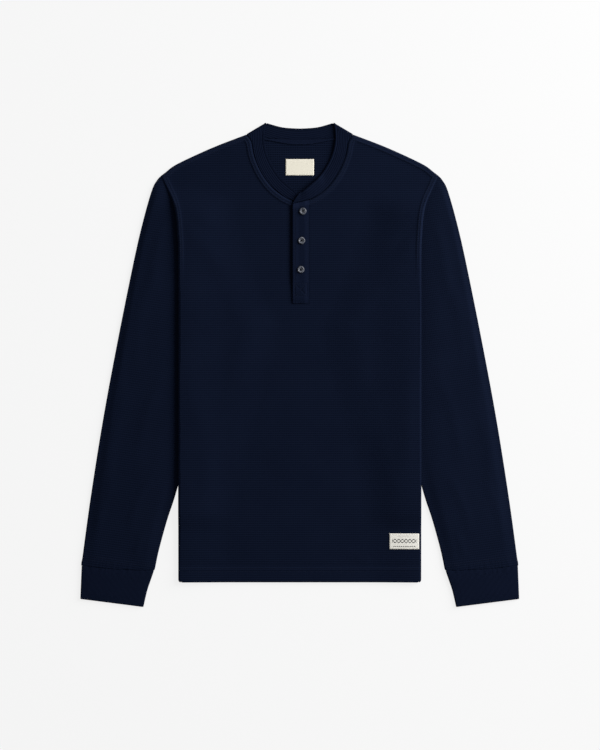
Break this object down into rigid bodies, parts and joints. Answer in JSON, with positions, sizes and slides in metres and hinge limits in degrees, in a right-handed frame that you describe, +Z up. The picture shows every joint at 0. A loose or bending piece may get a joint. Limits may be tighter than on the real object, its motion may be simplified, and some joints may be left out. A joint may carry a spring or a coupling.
{
  "type": "thermal top",
  "caption": "Long-sleeved waffle-knit thermal top with a buttoned neck placket, ribbed neckband and cuffs, laid flat with its sleeves folded down.",
  "frame": {"origin": "on the surface that the top lies on, under the middle of its box", "axes": "+X to the right as the front is seen, +Y from the hem to the collar, +Z up off the surface"},
  "size_m": [0.7026, 0.775, 0.0101],
  "materials": {
    "knit": "dark navy waffle knit, matt",
    "rib": "dark navy fine rib, matt",
    "tape": "dark navy twill tape",
    "label": "cream woven label",
    "button": "marbled grey, satin"
  },
  "bodies": {
    "root": {"front_panel": "knit", "back_panel": "knit", "sleeve_left": "knit", "sleeve_right": "knit", "cuff_left": "rib", "cuff_right": "rib", "neckband": "rib", "neck_tape": "tape", "placket_under": "knit", "placket_upper": "knit", "button_1": "button", "button_2": "button", "button_3": "button", "neck_label": "label", "hem_label": "label"}
  },
  "joints": []
}
